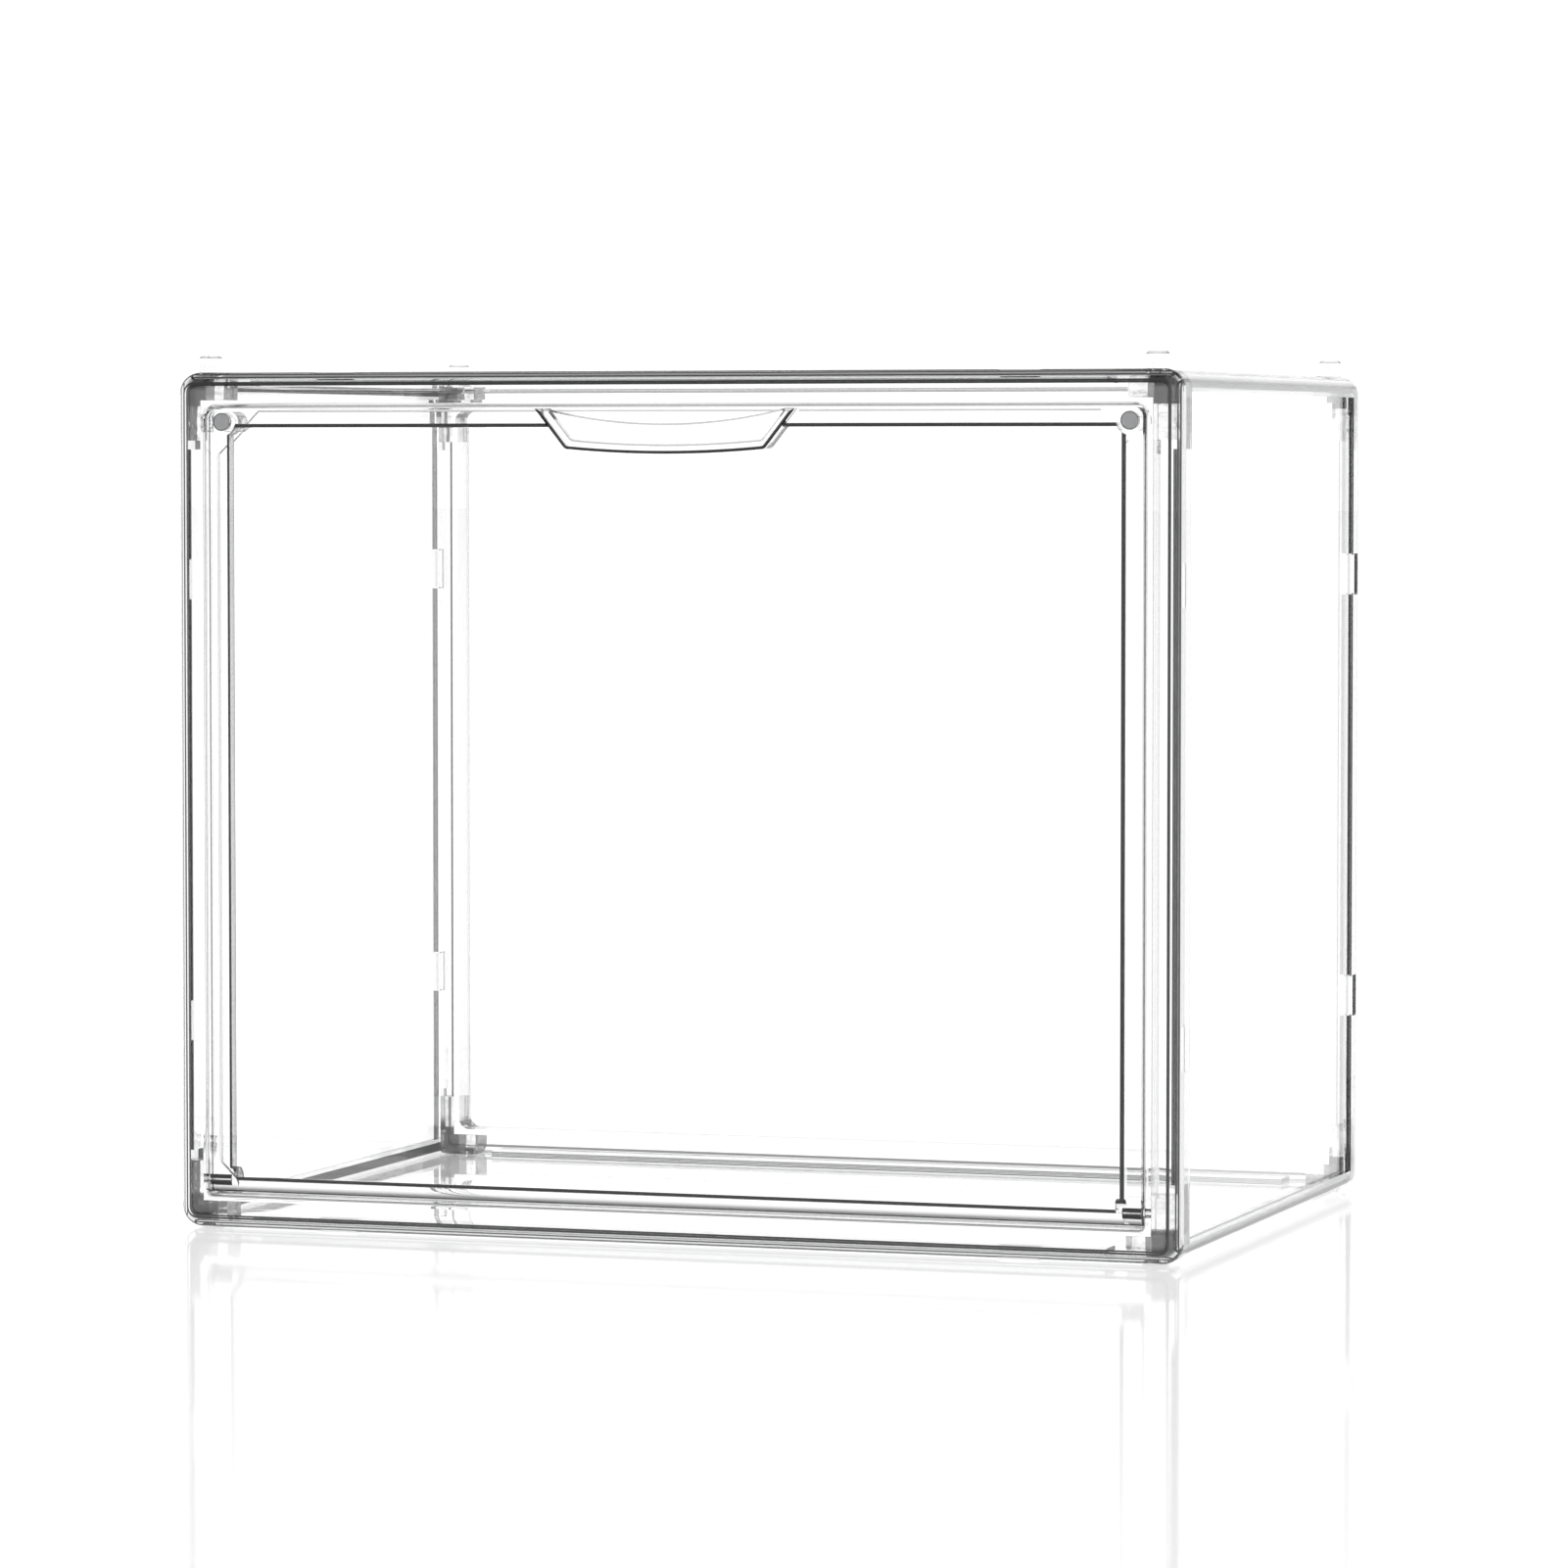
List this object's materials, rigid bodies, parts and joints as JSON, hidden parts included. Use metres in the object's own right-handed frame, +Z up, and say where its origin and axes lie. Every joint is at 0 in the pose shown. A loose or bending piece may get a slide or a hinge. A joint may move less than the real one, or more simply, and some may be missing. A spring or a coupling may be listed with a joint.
{
  "type": "shoe box",
  "caption": "Clear, stackable shoe display box with a drop-front door, magnetic catches, a scooped finger pull and stacking pegs.",
  "frame": {"origin": "on the surface it stands on, under the middle of the case", "axes": "+Z up, the door faces -Y, +X to the right seen from the door"},
  "size_m": [0.352, 0.248, 0.2956],
  "materials": {
    "clear_plastic": "polished",
    "magnet_nickel": "satin",
    "screw_steel": "satin"
  },
  "bodies": {
    "case": {"front_frame": "clear_plastic", "back_panel": "clear_plastic", "left_side_panel": "clear_plastic", "right_side_panel": "clear_plastic", "bottom_panel": "clear_plastic", "top_panel": "clear_plastic", "corner_connector_front_bottom_left": "clear_plastic", "corner_connector_front_bottom_right": "clear_plastic", "corner_connector_front_top_left": "clear_plastic", "corner_connector_front_top_right": "clear_plastic", "corner_connector_back_bottom_left": "clear_plastic", "corner_connector_back_bottom_right": "clear_plastic", "corner_connector_back_top_left": "clear_plastic", "corner_connector_back_top_right": "clear_plastic", "stacking_peg_front_left": "clear_plastic", "stacking_peg_front_right": "clear_plastic", "stacking_peg_back_left": "clear_plastic", "stacking_peg_back_right": "clear_plastic", "keeper_screw_left": "screw_steel", "keeper_screw_right": "screw_steel"},
    "door": {"door_panel": "clear_plastic", "finger_pull": "clear_plastic", "door_magnet_left": "magnet_nickel", "door_magnet_right": "magnet_nickel", "hinge_pin_left": "clear_plastic", "hinge_pin_right": "clear_plastic"}
  },
  "joints": [
    {"name": "door_hinge", "type": "hinge", "parent": "case", "child": "door", "pos_m": [0, -0.11965, 0.01685], "axis": [1, 0, 0], "range_deg": [0, 90]}
  ]
}
